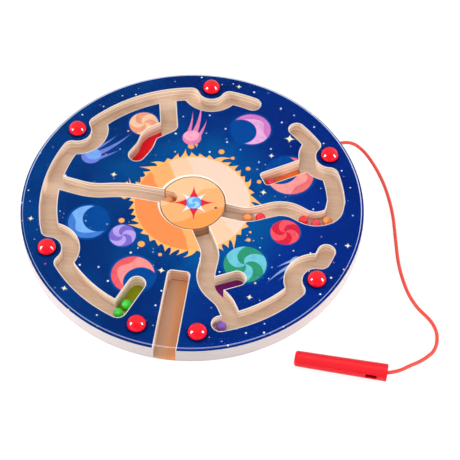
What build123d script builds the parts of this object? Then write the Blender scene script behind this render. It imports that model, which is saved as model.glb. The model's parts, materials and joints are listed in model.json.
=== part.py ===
from build123d import *
import os
from math import acos, asin, cos, degrees, pi, radians, sin, tan

os.makedirs("parts", exist_ok=True)

# Board: round layers on one centre line, underside at height zero
board_radius = 150.0
base_thickness = 2.0
base_edge_break = 0.6
maze_thickness = 14.0
print_thickness = 0.4
print_margin = 0.3
cover_thickness = 2.0
cover_margin = 2.0

# Channels: one round cutter follows every centre line, and the print stops short of the cuts
channel_width = 14.4
channel_depth = 12.4
bare_edge = 0.8

# Rim channel and its inward loops round the caps
rim_channel_margin = 24.0
cap_margin = 17.0
loop_radius = 20.0
loop_cap_bearings = (31.2, 91.3, 150.7, 210.2, 330.5)
slot_cap_bearings = (258.8, 280.6)
long_rim_bearings = (72.7, 249.5)
upper_rim_bearings = (9.0, 49.8)
lower_rim_bearings = (289.4, 344.0)

# Centre lines of the other channels, as shares of the rim channel's radius
left_way_shares = ((-0.159, 0.024), (-0.484, 0.043), (-0.714, -0.005), (-0.992, 0.044))
left_bend_shares = (0.714, 0.476)
right_way_shares = ((0.159, -0.025), (0.389, -0.054), (0.643, 0.062),
                    (0.841, -0.033), (0.976, 0.032), (0.987, 0.156))
right_bend_shares = (0.206, 0.206, 0.159, 0.095)
lower_way_shares = ((0.063, -0.159), (0.189, -0.397), (0.173, -0.643),
                    (0.333, -0.770), (0.413, -0.913))
lower_bend_shares = (0.238, 0.190, 0.190)
branch_way_shares = ((-0.336, 0.942), (-0.275, 0.659))

# Deep pockets, cut right through to the base, on the same scale
red_pocket_shares = ((-0.275, 0.659), (-0.401, 0.560), (-0.417, 0.452), (-0.460, 0.361))
red_bend_shares = (0.079, 0.159)
orange_pocket_shares = ((0.730, 0.438), (0.504, 0.299))
green_pocket_shares = ((-0.348, -0.937), (-0.263, -0.719))
purple_pocket_shares = ((0.262, -0.643), (0.392, -0.579))
orange_end_reach = 6.6
orange_end_corner = 3.0
floor_thickness = 0.3
floor_gap = 0.2

# Wand slot, open at the rim
slot_width = 18.5
slot_length = 77.2
slot_corner = 3.5

# Domed caps over the fasteners of the cover
cap_diameter = 15.5
cap_skirt = 1.0
cap_dome = 6.2

# Turntable in its round recess, with a notch that carries one ball
turntable_radius = 28.2
turntable_thickness = 12.1
recess_gap = 0.8
label_thickness = 0.3
label_margin = 0.2
notch_width = 11.5
notch_reach = 8.2
notch_lip_round = 1.0
notch_bearing = 171.0
print_hole_margin = 1.0
print_hole_shift = (-1.0, 0.9)
slug_diameter = 2.6
slug_length = 8.0
slug_margin = 7.2
slug_bearing = -7.4
slug_gap = 0.05

# Balls, placed as shares of the rim channel's radius
ball_diameter = 8.6
channel_ball_shares = {
    "ball_orange_right": (0.389, -0.033),
    "ball_red_right": (0.479, -0.013),
    "ball_red_bend": (0.777, 0.008),
    "ball_pink_bend": (0.865, -0.012),
    "ball_orange_bend": (0.942, 0.024),
    "ball_green_rim": (-0.351, -0.923),
    "ball_purple_rim": (0.335, -0.925),
}
pocket_ball_shares = {
    "ball_red_pocket": (0.512, 0.306),
    "ball_green_pocket": (-0.314, -0.841),
}
notch_ball_bearing = 170.0
notch_ball_setback = 6.1

# Wand: a hollow tapered stick, closed at the tip and plugged at the cord's end
wand_length = 75.8
wand_tip_diameter = 12.8
wand_end_diameter = 14.4
wand_wall = 1.6
wand_tip_round = 2.4
wand_end_round = 0.6
wand_slot_length = 9.2
wand_slot_width = 3.6
wand_slot_corner = 0.6
wand_slot_setback = 12.6
wand_slot_tilt = 11.0
magnet_length = 8.0
magnet_gap = 0.1
plug_length = 4.0
plug_gap = 0.05
knot_diameter = 6.4
knot_length = 6.0
knot_edge_break = 1.2

# Cord: from a hole in the rim, over the table, to the wand's end
# Each point of its route has a reach past the rim, a bearing and a height
cord_diameter = 3.0
cord_hole_gap = 0.05
cord_bend_share = 0.45
cord_route = (
    (-10.0, 37.2, 10.5),
    (7.0, 37.2, 10.5),
    (21.5, 32.3, 5.0),
    (25.9, 20.3, 1.55),
    (29.5, 9.6, 1.55),
    (31.8, -0.6, 1.55),
    (36.9, -10.2, 1.55),
    (58.1, -17.9, 1.55),
    (87.57, -21.53, 1.55),
    (95.49, -26.46, 1.55),
    (91.18, -30.09, 2.90),
    (86.17, -33.49, 5.40),
    (83.54, -36.73, 7.26),
    (78.62, -37.58, 7.20),
)

# How far cutting shapes reach past what they cut
overrun = 1.0

# Heights and radii that follow from the sizes above
base_top = base_thickness
maze_top = base_top + maze_thickness
print_top = maze_top + print_thickness
cover_top = print_top + cover_thickness
channel_floor = maze_top - channel_depth
rim_channel_radius = board_radius - rim_channel_margin
cap_circle_radius = board_radius - cap_margin
cover_radius = board_radius - cover_margin
recess_radius = turntable_radius + recess_gap
slot_end = board_radius - slot_length
ball_radius = ball_diameter / 2
cord_radius = cord_diameter / 2

# Angles at which a loop leaves the rim channel, seen from the board's centre and from the cap
shoulder_angle = degrees(acos(
    (rim_channel_radius ** 2 + cap_circle_radius ** 2 - loop_radius ** 2)
    / (2 * rim_channel_radius * cap_circle_radius)
))
loop_angle = degrees(acos(
    (loop_radius ** 2 + cap_circle_radius ** 2 - rim_channel_radius ** 2)
    / (2 * loop_radius * cap_circle_radius)
))


def polar(radius, bearing):
    """Point at a radius and a bearing from the board's centre."""
    return (radius * cos(radians(bearing)), radius * sin(radians(bearing)))


cap_places = [polar(cap_circle_radius, bearing) for bearing in loop_cap_bearings + slot_cap_bearings]
cord_points = [
    Vector(*polar(board_radius + reach, bearing), height) for reach, bearing, height in cord_route
]


def on_board(shares):
    """Points of the maze from shares of the rim channel's radius."""
    return [(x * rim_channel_radius, y * rim_channel_radius) for x, y in shares]


def rim_way(bearings, caps):
    """Centre line along the rim that loops inwards round each cap."""
    with BuildLine() as way:
        bearing = bearings[0]
        for cap in caps:
            CenterArc((0, 0), rim_channel_radius, bearing, cap - shoulder_angle - bearing)
            CenterArc(polar(cap_circle_radius, cap), loop_radius, cap + 180 + loop_angle, -2 * loop_angle)
            bearing = cap + shoulder_angle
        CenterArc((0, 0), rim_channel_radius, bearing, bearings[1] - bearing)
    return way.wire()


def bent_way(way_shares, bend_shares):
    """Centre line of straight runs joined by arcs."""
    with BuildLine() as way:
        FilletPolyline(*on_board(way_shares), radius=[share * rim_channel_radius for share in bend_shares])
    return way.wire()


def straight_way(way_shares):
    """Centre line of one straight run."""
    with BuildLine() as way:
        Line(*on_board(way_shares))
    return way.wire()


# Every centre line of the maze
channel_ways = (
    rim_way(long_rim_bearings, loop_cap_bearings[1:4]),
    rim_way(upper_rim_bearings, loop_cap_bearings[:1]),
    rim_way(lower_rim_bearings, loop_cap_bearings[4:]),
    bent_way(left_way_shares, left_bend_shares),
    bent_way(right_way_shares, right_bend_shares),
    bent_way(lower_way_shares, lower_bend_shares),
    straight_way(branch_way_shares),
)
red_way = bent_way(red_pocket_shares, red_bend_shares)
green_way = straight_way(green_pocket_shares)
purple_way = straight_way(purple_pocket_shares)
orange_way = straight_way(orange_pocket_shares)


# Plan of the channels, and of each pocket outside them
with BuildSketch() as channel_plan:
    for way in channel_ways:
        SlotArc(way, channel_width)
    Circle(recess_radius)

with BuildSketch() as slot_plan:
    with Locations((0, -(slot_end + board_radius + overrun) / 2)):
        Rectangle(slot_width, board_radius + overrun - slot_end)
    fillet(slot_plan.vertices().group_by(Axis.Y)[-1], radius=slot_corner)

orange_run = (orange_way @ 1 - orange_way @ 0).length + orange_end_reach
orange_plane = Plane(origin=orange_way @ 0, x_dir=orange_way % 0, z_dir=(0, 0, 1))
with BuildSketch(orange_plane) as orange_slot:
    Rectangle(orange_run, channel_width, align=(Align.MIN, Align.CENTER))
    fillet(orange_slot.vertices().sort_by_distance(orange_way @ 1)[:2], radius=orange_end_corner)


def round_slot(way):
    """Slot that the channel cutter leaves along a centre line."""
    with BuildSketch() as slot:
        SlotArc(way, channel_width)
    return slot.sketch


def outside_channels(slot):
    """What a pocket adds to the channels that it joins."""
    with BuildSketch() as pocket:
        add(slot)
        add(channel_plan.sketch, mode=Mode.SUBTRACT)
    return pocket.sketch


pocket_plans = {
    "red": outside_channels(round_slot(red_way)),
    "orange": outside_channels(orange_slot.sketch),
    "green": outside_channels(round_slot(green_way)),
    "purple": outside_channels(round_slot(purple_way)),
}

# Base under the maze, seen at the bottom of the wand slot
with BuildPart() as base_plate:
    with BuildSketch():
        Circle(board_radius)
    extrude(amount=base_thickness)
    chamfer(base_plate.edges().group_by(Axis.Z)[0], length=base_edge_break)

# Thick plate: channels cut to their floor, pockets and wand slot cut through, a hole for the cord
with BuildPart() as maze_plate:
    with BuildSketch(Plane.XY.offset(base_top)):
        Circle(board_radius)
    extrude(amount=maze_thickness)
    with BuildSketch(Plane.XY.offset(channel_floor)):
        add(channel_plan.sketch)
    extrude(amount=channel_depth + overrun, mode=Mode.SUBTRACT)
    with BuildSketch(Plane.XY.offset(base_top - overrun)):
        for pocket in pocket_plans.values():
            add(pocket)
        add(slot_plan.sketch)
    extrude(amount=maze_thickness + 2 * overrun, mode=Mode.SUBTRACT)
    with BuildSketch(Plane(origin=cord_points[0], z_dir=cord_points[1] - cord_points[0])):
        Circle(cord_radius + cord_hole_gap)
    extrude(amount=board_radius, mode=Mode.SUBTRACT)

# Printed layer, cut a little wider than the channels
with BuildSketch() as print_cut_plan:
    add(orange_slot.sketch)
    add(slot_plan.sketch)
    offset(amount=bare_edge)
    for way in channel_ways + (red_way, green_way, purple_way):
        SlotArc(way, channel_width + 2 * bare_edge)
    Circle(recess_radius + bare_edge)
    with Locations(print_hole_shift):
        Circle(recess_radius + print_hole_margin)

with BuildPart() as printed_face:
    with BuildSketch(Plane.XY.offset(maze_top)):
        Circle(board_radius - print_margin)
        add(print_cut_plan.sketch, mode=Mode.SUBTRACT)
    extrude(amount=print_thickness)

# Clear sheet over the whole maze
with BuildPart() as clear_cover:
    with BuildSketch(Plane.XY.offset(print_top)):
        Circle(cover_radius)
    extrude(amount=cover_thickness)

# Domed caps on the cover
with BuildPart() as screw_caps:
    dome_radius = ((cap_diameter / 2) ** 2 + cap_dome ** 2) / (2 * cap_dome)
    for x, y in cap_places:
        with BuildSketch(Plane((x, y, cover_top), x_dir=(1, 0, 0), z_dir=(0, -1, 0))):
            with BuildLine():
                Polyline(
                    (0, cap_skirt + cap_dome),
                    (0, 0),
                    (cap_diameter / 2, 0),
                    (cap_diameter / 2, cap_skirt),
                )
                RadiusArc((cap_diameter / 2, cap_skirt), (0, cap_skirt + cap_dome), -dome_radius)
            make_face()
        revolve(axis=Axis((x, y, cover_top), (0, 0, 1)))

# Turntable: a disc with a notch in its rim, its printed label and its steel slug
with BuildSketch() as disc_plan:
    Circle(turntable_radius)
    with BuildLine(mode=Mode.PRIVATE) as notch_way:
        Line(
            polar(turntable_radius - notch_reach, notch_bearing),
            polar(turntable_radius + notch_width, notch_bearing),
        )
    SlotArc(notch_way.wire(), notch_width, mode=Mode.SUBTRACT)
    fillet(disc_plan.vertices().sort_by_distance(polar(turntable_radius, notch_bearing))[:2], radius=notch_lip_round)

slug_place = polar(turntable_radius - slug_margin, slug_bearing)
disc_top = channel_floor + turntable_thickness
with BuildPart() as turntable_disc:
    with BuildSketch(Plane.XY.offset(channel_floor)):
        add(disc_plan.sketch)
    extrude(amount=turntable_thickness)
    with Locations((*slug_place, disc_top)):
        Hole(radius=slug_diameter / 2 + slug_gap, depth=slug_length)

with BuildPart() as turntable_label:
    with BuildSketch(Plane.XY.offset(disc_top)):
        add(disc_plan.sketch)
        offset(amount=-label_margin, mode=Mode.REPLACE)
        with Locations(slug_place):
            Circle(slug_diameter / 2 + slug_gap, mode=Mode.SUBTRACT)
    extrude(amount=label_thickness)

with BuildPart() as turntable_slug:
    with Locations((*slug_place, disc_top - slug_length)):
        Cylinder(slug_diameter / 2, slug_length, align=(Align.CENTER, Align.CENTER, Align.MIN))

# Coloured floors of the pockets, on the base
pocket_floors = {}
for colour, pocket in pocket_plans.items():
    with BuildPart() as pocket_floor:
        with BuildSketch(Plane.XY.offset(base_top)):
            add(pocket)
            offset(amount=-floor_gap, kind=Kind.INTERSECTION, mode=Mode.REPLACE)
        extrude(amount=floor_thickness)
    pocket_floors["floor_" + colour] = pocket_floor.part

# Balls on the channel floor, on the pocket floors and in the turntable's notch
notch_ball_place = polar(turntable_radius - notch_ball_setback, notch_ball_bearing)
ball_places = {"ball_orange_notch": (*notch_ball_place, channel_floor + ball_radius)}
for name, shares in channel_ball_shares.items():
    ball_places[name] = (*on_board([shares])[0], channel_floor + ball_radius)
for name, shares in pocket_ball_shares.items():
    ball_places[name] = (*on_board([shares])[0], base_top + floor_thickness + ball_radius)
balls = {}
for name, place in ball_places.items():
    with BuildPart() as ball:
        with Locations(place):
            Sphere(ball_radius)
    balls[name] = ball.part

# The wand lies on the table, tapering from the cord's end to the tip
tip_radius = wand_tip_diameter / 2
end_radius = wand_end_diameter / 2
taper_angle = degrees(asin((end_radius - tip_radius) / wand_length))
cord_end = cord_points[-1]
cord_tail = cord_points[-2] - cord_end
wand_heading = Vector(cord_tail.X, cord_tail.Y).normalized()
wand_along = wand_heading * cos(radians(taper_angle)) + Vector(0, 0, 1) * sin(radians(taper_angle))
wand_end = Vector(cord_end.X, cord_end.Y, end_radius / cos(radians(taper_angle)))
wand_tip = wand_end - wand_along * wand_length
wand_axis = Axis(wand_tip, wand_along)
wand_side = Vector(0, 0, 1).cross(wand_heading)
wand_section = Plane(origin=wand_tip, x_dir=wand_along.cross(wand_side), z_dir=wand_side)


def bore_radius(distance):
    """Inner radius of the wand at a distance from its tip."""
    return tip_radius + (end_radius - tip_radius) * distance / wand_length - wand_wall


# Hollow wand, with an oblong hole through the wall near the cord's end
with BuildPart() as wand_shell:
    with BuildSketch(wand_section) as shell_outline:
        Polygon(
            (0, 0),
            (tip_radius, 0),
            (end_radius, wand_length),
            (bore_radius(wand_length), wand_length),
            (bore_radius(wand_wall), wand_wall),
            (0, wand_wall),
            align=None,
        )
        fillet(shell_outline.vertices().sort_by_distance((tip_radius, 0))[0], radius=wand_tip_round)
        fillet(shell_outline.vertices().sort_by_distance((end_radius, wand_length))[0], radius=wand_end_round)
    revolve(axis=wand_axis)
    hole_middle = wand_end - wand_along * wand_slot_setback
    hole_outward = -wand_side.rotate(Axis((0, 0, 0), wand_along), -wand_slot_tilt)
    with BuildSketch(Plane(origin=hole_middle, x_dir=wand_along, z_dir=hole_outward)):
        RectangleRounded(wand_slot_length, wand_slot_width, wand_slot_corner)
    extrude(amount=wand_end_diameter, mode=Mode.SUBTRACT)

# Magnet against the wand's closed tip
magnet_radius = bore_radius(wand_wall) - magnet_gap
with BuildPart() as wand_magnet:
    with BuildSketch(Plane(origin=wand_tip + wand_along * wand_wall, z_dir=wand_along)):
        Circle(magnet_radius)
    extrude(amount=magnet_length)

# Tapered plug in the wand's end, bored for the cord
knot_neck_radius = cord_diameter / 2
with BuildPart() as wand_plug:
    with BuildSketch(wand_section):
        Polygon(
            (knot_neck_radius + plug_gap, wand_length),
            (bore_radius(wand_length) - plug_gap, wand_length),
            (bore_radius(wand_length - plug_length) - plug_gap, wand_length - plug_length),
            (knot_neck_radius + plug_gap, wand_length - plug_length),
            align=None,
        )
    revolve(axis=wand_axis)

# The cord's end inside the wand: a neck through the plug and the knot behind it
with BuildPart() as wand_knot:
    with BuildSketch(wand_section) as knot_outline:
        Polygon(
            (0, wand_length),
            (knot_neck_radius, wand_length),
            (knot_neck_radius, wand_length - plug_length),
            (knot_diameter / 2, wand_length - plug_length),
            (knot_diameter / 2, wand_length - plug_length - knot_length),
            (0, wand_length - plug_length - knot_length),
            align=None,
        )
        knot_rim = (knot_diameter / 2, wand_length - plug_length - knot_length)
        chamfer(knot_outline.vertices().sort_by_distance(knot_rim)[0], length=knot_edge_break)
    revolve(axis=wand_axis)

# Cord: straight runs joined by arcs as large as the runs allow
cord_runs = [(b - a).length for a, b in zip(cord_points, cord_points[1:])]
cord_turns = [
    (b - a).get_angle(c - b) for a, b, c in zip(cord_points, cord_points[1:], cord_points[2:])
]
cord_bends = [
    cord_bend_share * min(before, after) / tan(radians(turn) / 2)
    for before, after, turn in zip(cord_runs, cord_runs[1:], cord_turns)
]
with BuildPart() as cord:
    with BuildLine() as cord_path:
        FilletPolyline(*cord_points, radius=cord_bends)
    with BuildSketch(Plane(origin=cord_path.line @ 0, z_dir=cord_path.line % 0)):
        Circle(cord_radius)
    sweep()
cord_length = cord_path.wire().length
cord_volume = pi * cord_radius ** 2 * cord_length
print("cord runs", [round(run, 1) for run in cord_runs])
print("cord turns", [round(turn, 1) for turn in cord_turns])
print("cord radii", [round(bend, 1) for bend in cord_bends])
print("cord length", round(cord_length, 1), "volume share", round(cord.part.volume / cord_volume, 4))

# Each piece by name
pieces = {
    "base_plate": base_plate.part,
    "maze_plate": maze_plate.part,
    "printed_face": printed_face.part,
    "clear_cover": clear_cover.part,
    "screw_caps": screw_caps.part,
    "turntable_disc": turntable_disc.part,
    "turntable_label": turntable_label.part,
    "turntable_slug": turntable_slug.part,
    "wand_shell": wand_shell.part,
    "wand_magnet": wand_magnet.part,
    "wand_plug": wand_plug.part,
    "wand_knot": wand_knot.part,
    "cord": cord.part,
    **pocket_floors,
    **balls,
}
for name, piece in pieces.items():
    piece.label = name
    export_step(piece, f"parts/{name}.step")
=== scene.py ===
"""Looks of a magnetic maze board: finishes, printed designs, cord, studio and camera."""
import json
import logging
from dataclasses import dataclass
from enum import Enum
from math import cos, pi, radians, sin

import bmesh
import bpy
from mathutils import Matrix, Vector


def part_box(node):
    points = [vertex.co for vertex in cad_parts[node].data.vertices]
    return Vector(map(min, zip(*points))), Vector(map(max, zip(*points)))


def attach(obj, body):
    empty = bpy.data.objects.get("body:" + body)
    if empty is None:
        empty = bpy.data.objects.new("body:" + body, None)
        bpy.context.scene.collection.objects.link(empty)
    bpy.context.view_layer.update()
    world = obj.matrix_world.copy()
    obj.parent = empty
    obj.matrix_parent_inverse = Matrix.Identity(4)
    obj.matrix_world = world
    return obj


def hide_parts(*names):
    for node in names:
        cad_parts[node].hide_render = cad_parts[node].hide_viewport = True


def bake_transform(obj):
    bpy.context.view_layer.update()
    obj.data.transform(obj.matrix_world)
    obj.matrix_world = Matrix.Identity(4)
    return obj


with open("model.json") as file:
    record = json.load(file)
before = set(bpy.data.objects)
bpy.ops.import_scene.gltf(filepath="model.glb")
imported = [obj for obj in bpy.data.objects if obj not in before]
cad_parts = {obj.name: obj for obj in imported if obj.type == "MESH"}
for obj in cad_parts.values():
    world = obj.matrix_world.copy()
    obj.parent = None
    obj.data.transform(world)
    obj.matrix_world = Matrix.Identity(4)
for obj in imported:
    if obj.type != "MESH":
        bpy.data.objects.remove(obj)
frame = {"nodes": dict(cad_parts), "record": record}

log = logging.getLogger("maze_board")

Socket = bpy.types.NodeSocket
Sockets = bpy.types.bpy_prop_collection
Node = bpy.types.Node
Tree = bpy.types.NodeTree
Material = bpy.types.Material
Mesh = bpy.types.Mesh
Piece = bpy.types.Object
Colour = tuple[float, float, float, float]
Pair = tuple[float, float]
Point = tuple[float, float, float]
Tones = tuple[tuple[float, Colour], ...]

MM = 0.001

# Sizes of the board that more than one finish follows, in metres
PLY = 0.0024
SLOT_END = 0.0728
SLOT_HALF_WIDTH = 0.00925
FINE_STEP = 0.0003

# How closely a mesh is merged, and the angle from which its edges stay sharp
MERGE_WITHIN = 1e-6
SHARP_EDGE = radians(30)

# Sockets of the Mix node, which has one set for each type, when it mixes colours
MIX_INPUTS = (0, 6, 7)
MIX_OUTPUT = 2


def linear(red: int, green: int, blue: int) -> Colour:
    """Turns a screen colour into the linear one that a socket takes.

    Args:
        red: red from 0 to 255.
        green: green from 0 to 255.
        blue: blue from 0 to 255.

    Returns:
        The colour with full alpha.
    """
    shares = [value / 255 for value in (red, green, blue)]
    return (*[s / 12.92 if s <= 0.04045 else ((s + 0.055) / 1.055) ** 2.4 for s in shares], 1.0)


def dimmed(colour: Colour, share: float) -> Colour:
    """Returns a colour that keeps a share of its light."""
    return (*[value * share for value in colour[:3]], 1.0)


def grey(level: float) -> Colour:
    """Returns a grey of a linear level."""
    return (level, level, level, 1.0)


def polar(radius: float, bearing: float, height: float = 0.0) -> Point:
    """Returns the point at a radius, a bearing in degrees and a height."""
    return radius * cos(radians(bearing)), radius * sin(radians(bearing)), height


class Graph:
    """Short calls that make and link nodes in one node tree."""

    def __init__(self, tree: Tree) -> None:
        """Keeps the tree to work in."""
        self.tree = tree

    def feed(self, socket: Socket, value: object) -> None:
        """Links a socket to another one, or sets its plain value.

        Args:
            socket: the input to feed.
            value: a socket or a plain value.
        """
        if isinstance(value, Socket):
            self.tree.links.new(value, socket)
        else:
            socket.default_value = value

    def node(self, kind: str, inputs: dict[str, object] | None = None, **settings: object) -> Node:
        """Makes a node.

        Args:
            kind: the node's type name.
            inputs: values or sockets by input name.
            settings: the node's own properties.

        Returns:
            The new node.
        """
        made = self.tree.nodes.new(kind)
        for name, value in settings.items():
            setattr(made, name, value)
        for name, value in (inputs or {}).items():
            self.feed(made.inputs[name], value)
        return made

    def row(self, made: Node, values: tuple[object, ...]) -> Node:
        """Feeds a node's first inputs in order and returns the node."""
        for socket, value in zip(made.inputs, values):
            self.feed(socket, value)
        return made

    def math(self, operation: str, *values: object, clamp: bool = False) -> Socket:
        """Returns the result of a math node on the values."""
        return self.row(self.node("ShaderNodeMath", operation=operation, use_clamp=clamp), values).outputs[0]

    def times(self, first: object, *others: object) -> Socket:
        """Returns the product of the values."""
        for other in others:
            first = self.math("MULTIPLY", first, other)
        return first

    def plus(self, first: object, *others: object) -> Socket:
        """Returns the sum of the values."""
        for other in others:
            first = self.math("ADD", first, other)
        return first

    def minus(self, first: object, second: object, clamp: bool = False) -> Socket:
        """Returns the difference of two values."""
        return self.math("SUBTRACT", first, second, clamp=clamp)

    def over(self, first: object, second: object, clamp: bool = False) -> Socket:
        """Returns the first value divided by the second."""
        return self.math("DIVIDE", first, second, clamp=clamp)

    def away(self, value: object) -> Socket:
        """Returns a value without its sign."""
        return self.math("ABSOLUTE", value)

    def vector(self, operation: str, *values: object) -> Socket:
        """Makes a vector math node.

        Args:
            operation: what it does.
            values: its inputs in order.

        Returns:
            Its result, a vector or a value.
        """
        made = self.row(self.node("ShaderNodeVectorMath", operation=operation), values)
        single = operation in ("LENGTH", "DISTANCE", "DOT_PRODUCT")
        return made.outputs["Value" if single else "Vector"]

    def rise(self, value: object, low: object, high: object) -> Socket:
        """Returns a soft step from 0 below low to 1 above high."""
        return self.node("ShaderNodeMapRange", {"Value": value, "From Min": low, "From Max": high},
                         interpolation_type="SMOOTHSTEP", clamp=True).outputs["Result"]

    def fall(self, value: object, low: object, high: object) -> Socket:
        """Returns a soft step from 1 below low to 0 above high."""
        return self.minus(1.0, self.rise(value, low, high))

    def mix(self, share: object, first: object, second: object) -> Socket:
        """Mixes two colours.

        Args:
            share: how much of the second is in the mix.
            first: the first colour.
            second: the second colour.

        Returns:
            The mixed colour.
        """
        made = self.node("ShaderNodeMix", data_type="RGBA")
        for index, value in zip(MIX_INPUTS, (share, first, second)):
            self.feed(made.inputs[index], value)
        return made.outputs[MIX_OUTPUT]

    def steps(self, level: Socket, colour: Colour, tones: Tones, blur: float) -> Socket:
        """Steps from tone to tone as a level rises.

        Args:
            level: the level.
            colour: the tone below the first step.
            tones: where each step starts and the tone above it.
            blur: how wide a step is.

        Returns:
            The colour at that level.
        """
        for start, tone in tones:
            colour = self.mix(self.rise(level, start, start + blur), colour, tone)
        return colour

    def both(self, share: object, first: Node, second: Node) -> Socket:
        """Returns a mix of two shaders."""
        values = (share, first.outputs[0], second.outputs[0])
        return self.row(self.node("ShaderNodeMixShader"), values).outputs[0]

    def noise(self, place: object, scale: float | Point, detail: float = 3.0, rough: float = 0.5) -> Socket:
        """Makes noise.

        Args:
            place: where it is read.
            scale: how fine it is, on all axes or on each.
            detail: how many finer layers it has.
            rough: how much each finer layer counts.

        Returns:
            The noise, from 0 to 1.
        """
        if isinstance(scale, tuple):
            place, scale = self.vector("MULTIPLY", place, scale), 1.0
        values = {"Vector": place, "Scale": scale, "Detail": detail, "Roughness": rough}
        return self.node("ShaderNodeTexNoise", values).outputs["Fac"]

    def split(self, place: object) -> tuple[Socket, Socket, Socket]:
        """Returns the three parts of a vector."""
        return tuple(self.node("ShaderNodeSeparateXYZ", {"Vector": place}).outputs)

    def join(self, x: object = 0.0, y: object = 0.0, z: object = 0.0) -> Socket:
        """Returns the vector of three parts."""
        return self.node("ShaderNodeCombineXYZ", {"X": x, "Y": y, "Z": z}).outputs[0]

    def flat(self, place: object) -> Socket:
        """Returns a place without its height."""
        return self.vector("MULTIPLY", place, (1.0, 1.0, 0.0))

    def reach(self, place: object) -> Socket:
        """Returns how far a place lies from the centre line."""
        return self.vector("LENGTH", self.flat(place))

    def put(self, place: object, centre: Pair, size: float, turn: float = 0.0) -> Socket:
        """Looks at a place from a motif.

        Args:
            place: the place on the object.
            centre: where the motif stands, in millimetres.
            size: the motif's size, in millimetres.
            turn: how far it is turned, in degrees.

        Returns:
            The place in the motif's own frame, in shares of its size.
        """
        return self.node("ShaderNodeMapping", {
            "Vector": place,
            "Location": (centre[0] * MM, centre[1] * MM, 0.0),
            "Rotation": (0.0, 0.0, radians(turn)),
            "Scale": (size * MM, size * MM, 1.0),
        }, vector_type="TEXTURE").outputs["Vector"]

    def use(self, group: Tree, **inputs: object) -> Sockets:
        """Places a node group.

        Args:
            group: the shared node group.
            inputs: its inputs by name.

        Returns:
            The group's outputs, by name.
        """
        made = self.node("ShaderNodeGroup", node_tree=group)
        for name, value in inputs.items():
            self.feed(made.inputs[name], value)
        return made.outputs


class Group(Graph):
    """A shader node group that reads a place and some values, and gives values."""

    def __init__(self, name: str, gives: tuple[str, ...], **takes: float) -> None:
        """Makes the group with its sockets.

        Args:
            name: the group's name.
            gives: the names of its outputs.
            takes: the defaults of its inputs by name, beside the place.
        """
        super().__init__(bpy.data.node_groups.new(name, "ShaderNodeTree"))
        face = self.tree.interface
        face.new_socket(name="Place", in_out="INPUT", socket_type="NodeSocketVector")
        for title, default in takes.items():
            face.new_socket(name=title, in_out="INPUT", socket_type="NodeSocketFloat").default_value = default
        for title in gives:
            face.new_socket(name=title, in_out="OUTPUT", socket_type="NodeSocketFloat")
        self.entry = self.node("NodeGroupInput")
        self.leave = self.node("NodeGroupOutput")

    def __getitem__(self, title: str) -> Socket:
        """Returns one of the group's input sockets."""
        return self.entry.outputs[title]

    def give(self, **values: Socket) -> Tree:
        """Finishes the group.

        Args:
            values: what feeds each output, by name.

        Returns:
            The group's tree.
        """
        for title, value in values.items():
            self.feed(self.leave.inputs[title], value)
        return self.tree


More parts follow.
